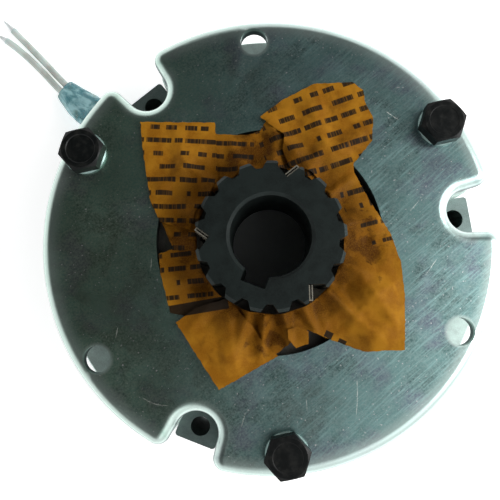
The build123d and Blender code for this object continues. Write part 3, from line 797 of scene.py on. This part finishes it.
def turned_place(look, heading, centre):
    """Coordinates in millimetres from a centre, with x along a heading."""
    origin = (centre[0] * MM, centre[1] * MM, 0)
    moved = look.add("ShaderNodeVectorMath", {0: look.place, 1: origin}, operation="SUBTRACT")
    mapping = look.add("ShaderNodeMapping", {
        "Vector": moved.outputs[0],
        "Scale": (1 / MM, 1 / MM, 1 / MM),
        "Rotation": (0, 0, math.radians(-heading)),
    })
    return look.add("ShaderNodeSeparateXYZ", {0: mapping.outputs[0]}).outputs


def printed_block(look, heading, centre, half):
    """Solid printed block."""
    x, y, _ = turned_place(look, heading, centre)
    across = look.band(look.math("ABSOLUTE", x), half[0] - 0.1, half[0] + 0.1, 1, 0)
    up = look.band(look.math("ABSOLUTE", y), half[1] - 0.1, half[1] + 0.1, 1, 0)
    return look.math("MULTIPLY", across, up)


def row_noise(look, x, number, width, shift, detail):
    """Noise along the rows, about a width in millimetres, shifted from one row to the next."""
    inputs = {"X": look.math("DIVIDE", x, width), "Y": look.math("MULTIPLY", number, shift)}
    spot = look.add("ShaderNodeCombineXYZ", inputs).outputs[0]
    return look.noise(1.0, detail, vector=spot, roughness=0.5)


def printed_rows(look, heading, pitch, centre, half):
    """Rows of short bars, like greeked type, inside a block."""
    x, y, _ = turned_place(look, heading, centre)
    rows = look.math("DIVIDE", y, pitch)
    number = look.math("FLOOR", rows)
    in_row = look.math("ABSOLUTE", look.math("SUBTRACT", look.math("FRACT", rows), 0.5))
    bar = look.band(in_row, 0.15, 0.21, 1, 0)
    word = look.band(row_noise(look, x, number, 3.2, 7.3, 0.0), 0.40, 0.42)
    stroke = look.band(row_noise(look, x, number, 0.45, 5.1, 1.0), 0.36, 0.5, 0.62, 1)
    marks = look.math("MULTIPLY", look.math("MULTIPLY", bar, word), stroke)
    return look.math("MULTIPLY", marks, printed_block(look, heading, centre, half))


def paper_print(look):
    """All the print on the paper."""
    ink = 0.0
    for area in PRINTED_AREAS:
        ink = look.math("MAXIMUM", ink, printed_rows(look, *area))
    for block in PRINTED_BLOCKS:
        ink = look.math("MAXIMUM", ink, printed_block(look, *block))
    return ink


def paper_grease_and_shade(look, cloud):
    """Grease in broad clouds, plus darker patches and a darker ring next to the hub that are partly grease
    and partly painted shade.
    """
    clouds = look.band(look.noise(14 * MM, 3, distortion=0.8), 0.5, 0.72, 0, 0.6)
    # Darker next to the hub: painted shade where the paper meets the hub, mixed with grease.
    close = look.band(look.from_axis(), 25 * MM, 41 * MM, 1, 0)
    near_hub = look.math("MULTIPLY", close, look.band(cloud, 0.35, 0.6, 0.55, 1))
    patches = look.math("MAXIMUM", patch_mask(look, GREASE_AND_SHADE, cloud), near_hub)
    return look.math("MAXIMUM", clouds, patches)


def paper_look():
    """Waxed brown paper: fibres, small wrinkles, darker patches that are partly grease and partly painted
    shade, and rows of plain printed bars.
    """
    look = Look("vci_paper", Specular_IOR_Level=0.03)
    fibre = look.noise(0.35 * MM, 5, roughness=0.7)
    cloud = look.noise(6 * MM, 5)
    wrinkle = look.noise(2.4 * MM, 6, roughness=0.65, distortion=0.5)
    colour = look.mix(look.band(cloud, 0.35, 0.65), (0.215, 0.080, 0.005, 1), (0.33, 0.142, 0.010, 1))
    # The dark mix is partly grease and partly painted shade.
    soaked_and_shaded = look.mix(paper_grease_and_shade(look, cloud), colour, (0.050, 0.014, 0.002, 1))
    fibrous = look.mix(look.band(fibre, 0.3, 0.75, 0, 0.3), soaked_and_shaded, (0.38, 0.18, 0.016, 1))
    worn_ink = look.math("MULTIPLY", paper_print(look), look.band(fibre, 0.2, 0.45, 0.82, 0.96))
    look.link(look.mix(worn_ink, fibrous, (0.014, 0.011, 0.008, 1)), "Base Color")
    look.link(look.band(wrinkle, 0.3, 0.7, 0.62, 0.45), "Roughness")
    look.bump((wrinkle, 0.45, 0.35 * MM), (fibre, 0.2, 0.03 * MM))
    return look


def make_paper():
    """The crumpled paper as one mesh of overlapping flaps."""
    rng = random.Random(PAPER_SEED)
    mesh = bmesh.new()
    flap_mesh(mesh, PAPER_SHEET, 0.0, rng)
    for lift, corners in PAPER_FLAPS:
        flap_mesh(mesh, corners, lift, rng)
    paper = smooth_object("paper_sheet", mesh, paper_look())
    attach(paper, "paper")
    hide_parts("protective_paper")


make_paper()

# ---------------------------------------------------------------- floor and light
FLOOR_SIZE = 3.0
# The floor glows a little outside the unit, growing between two distances from the shaft axis.
FLOOR_GLOW = 0.6
GLOW_START = 0.066
GLOW_FULL = 0.085
# The surround turns from its horizon light to its overhead light between two heights.
HORIZON_LIGHT = 1.0
HORIZON_TOP = 0.40
OVERHEAD_BASE = 0.74
# The overhead light grows from dim to bright along a lean, between two places on it.
OVERHEAD_DIM = 0.042
OVERHEAD_BRIGHT = 1.5
OVERHEAD_LEAN = (0.90, -0.44, 0.0)
OVERHEAD_FROM = -0.40
OVERHEAD_TO = 0.48
OVERHEAD_CURVE = 4.4
KEY_PLACE = (0.50, -0.02, 0.40)
KEY_TARGET = (0.0, 0.0, 0.05)
KEY_SIZE = 0.34
KEY_POWER = 3.1


def make_floor():
    """Pale floor under the unit, glowing outside it: painted light that washes out the unit's shadow on
    the floor.
    """
    mesh = bpy.data.meshes.new("floor")
    half = FLOOR_SIZE / 2
    corners = [(-half, -half, 0), (half, -half, 0), (half, half, 0), (-half, half, 0)]
    mesh.from_pydata(corners, [], [(0, 1, 2, 3)])
    floor = bpy.data.objects.new("floor", mesh)
    bpy.context.scene.collection.objects.link(floor)
    look = Look("floor_paint_and_glow", Roughness=0.8, Specular_IOR_Level=0.1)
    tone = look.noise(0.2, 3)
    look.link(look.mix(look.band(tone, 0.3, 0.7), grey(0.88), grey(0.91)), "Base Color")
    look.shader.inputs["Emission Color"].default_value = grey(1.0)
    # The glow is painted light that fills in the unit's shadow round it.
    look.link(look.band(look.from_axis(), GLOW_START, GLOW_FULL, 0, FLOOR_GLOW), "Emission Strength")
    mesh.materials.append(look.material)


def make_key_light():
    """Square soft light from the right, aimed at the unit."""
    data = bpy.data.lights.new("key", "AREA")
    data.size = KEY_SIZE
    data.energy = KEY_POWER
    light = bpy.data.objects.new("key", data)
    light.location = KEY_PLACE
    light.rotation_euler = (Vector(KEY_TARGET) - Vector(KEY_PLACE)).to_track_quat("-Z", "Y").to_euler()
    bpy.context.scene.collection.objects.link(light)


def world_band(tree, value, low, high, start, end, kind="SMOOTHSTEP"):
    """Value mapped from low..high to start..end inside the surround."""
    node = tree.nodes.new("ShaderNodeMapRange")
    node.interpolation_type = kind
    for name, number in (("From Min", low), ("From Max", high), ("To Min", start), ("To Max", end)):
        socket = node.inputs[name]
        if isinstance(number, bpy.types.NodeSocket):
            tree.links.new(number, socket)
        else:
            socket.default_value = number
    tree.links.new(value, node.inputs["Value"])
    return node.outputs[0]


def make_world():
    """Studio surround: white round the horizon, dim overhead and growing brighter to the lower right."""
    world = bpy.data.worlds.new("studio")
    bpy.context.scene.world = world
    world.use_nodes = True
    tree = world.node_tree
    background = tree.nodes["Background"]
    coordinates = tree.nodes.new("ShaderNodeTexCoord")
    lean = tree.nodes.new("ShaderNodeVectorMath")
    lean.operation = "DOT_PRODUCT"
    lean.inputs[1].default_value = OVERHEAD_LEAN
    tree.links.new(coordinates.outputs["Generated"], lean.inputs[0])
    split = tree.nodes.new("ShaderNodeSeparateXYZ")
    tree.links.new(coordinates.outputs["Generated"], split.inputs[0])
    share = world_band(tree, lean.outputs["Value"], OVERHEAD_FROM, OVERHEAD_TO, 0.0, 1.0, "LINEAR")
    curve = tree.nodes.new("ShaderNodeMath")
    curve.operation = "POWER"
    curve.inputs[1].default_value = OVERHEAD_CURVE
    tree.links.new(share, curve.inputs[0])
    overhead = world_band(tree, curve.outputs[0], 0.0, 1.0, OVERHEAD_DIM, OVERHEAD_BRIGHT, "LINEAR")
    tone = world_band(tree, split.outputs["Z"], HORIZON_TOP, OVERHEAD_BASE, HORIZON_LIGHT, overhead)
    tree.links.new(tone, background.inputs["Color"])


make_floor()
make_world()
make_key_light()

bpy.context.scene.view_settings.view_transform = "Standard"
